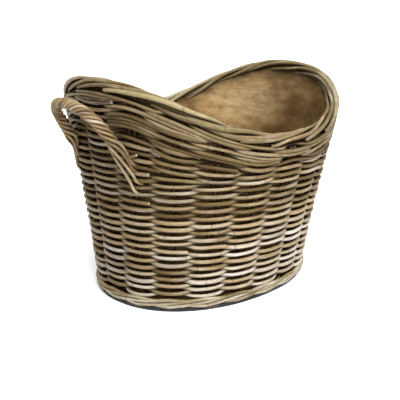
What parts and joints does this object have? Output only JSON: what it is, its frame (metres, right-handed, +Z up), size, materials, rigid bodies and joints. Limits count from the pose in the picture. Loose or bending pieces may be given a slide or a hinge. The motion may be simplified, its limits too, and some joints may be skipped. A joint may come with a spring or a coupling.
{
  "type": "log basket",
  "caption": "Oval woven rattan log basket with a swooping rolled rim, roped end handles and a hessian lining.",
  "frame": {"origin": "centre of the base board's underside, on the floor", "axes": "+Z up, X along the basket's long axis through both handles, Y across it"},
  "size_m": [0.599, 0.453, 0.39],
  "materials": {
    "weaver_rattan": "satin, weathered grey-brown cane",
    "stake_rattan": "satin, reddish-brown bark cane",
    "border_rattan": "satin, thick skin-on cane",
    "handle_rattan": "satin, thin brown cane",
    "hessian": "rough plain-woven jute",
    "stained_board": "dark matt stain",
    "nail_steel": "dull"
  },
  "bodies": {
    "root": {"base_board": "stained_board", "base_nails": "nail_steel", "stake_pair_01": "stake_rattan", "stake_pair_02": "stake_rattan", "stake_pair_03": "stake_rattan", "stake_pair_04": "stake_rattan", "stake_pair_05": "stake_rattan", "stake_pair_06": "stake_rattan", "stake_pair_07": "stake_rattan", "stake_pair_08": "stake_rattan", "stake_pair_09": "stake_rattan", "stake_pair_10": "stake_rattan", "stake_pair_11": "stake_rattan", "stake_pair_12": "stake_rattan", "stake_pair_13": "stake_rattan", "stake_pair_14": "stake_rattan", "stake_pair_15": "stake_rattan", "stake_pair_16": "stake_rattan", "stake_pair_17": "stake_rattan", "stake_pair_18": "stake_rattan", "stake_pair_19": "stake_rattan", "stake_pair_20": "stake_rattan", "foot_wale_rod_1": "border_rattan", "foot_wale_rod_2": "border_rattan", "foot_wale_rod_3": "border_rattan", "foot_wale_rod_4": "border_rattan", "weave_course_01": "weaver_rattan", "weave_course_02": "weaver_rattan", "weave_course_03": "weaver_rattan", "weave_course_04": "weaver_rattan", "weave_course_05": "weaver_rattan", "weave_course_06": "weaver_rattan", "swept_course_1": "weaver_rattan", "swept_course_2": "weaver_rattan", "swept_course_3": "weaver_rattan", "swept_course_4": "weaver_rattan", "swept_course_5": "weaver_rattan", "left_end_packing": "weaver_rattan", "right_end_packing": "weaver_rattan", "rim_core": "border_rattan", "border_strand_1": "border_rattan", "border_strand_2": "border_rattan", "border_strand_3": "border_rattan", "border_strand_4": "border_rattan", "left_handle_core": "handle_rattan", "right_handle_core": "handle_rattan", "left_handle_wrap": "handle_rattan", "right_handle_wrap": "handle_rattan", "liner_floor": "hessian", "liner_left": "hessian", "liner_right": "hessian"}
  },
  "joints": []
}
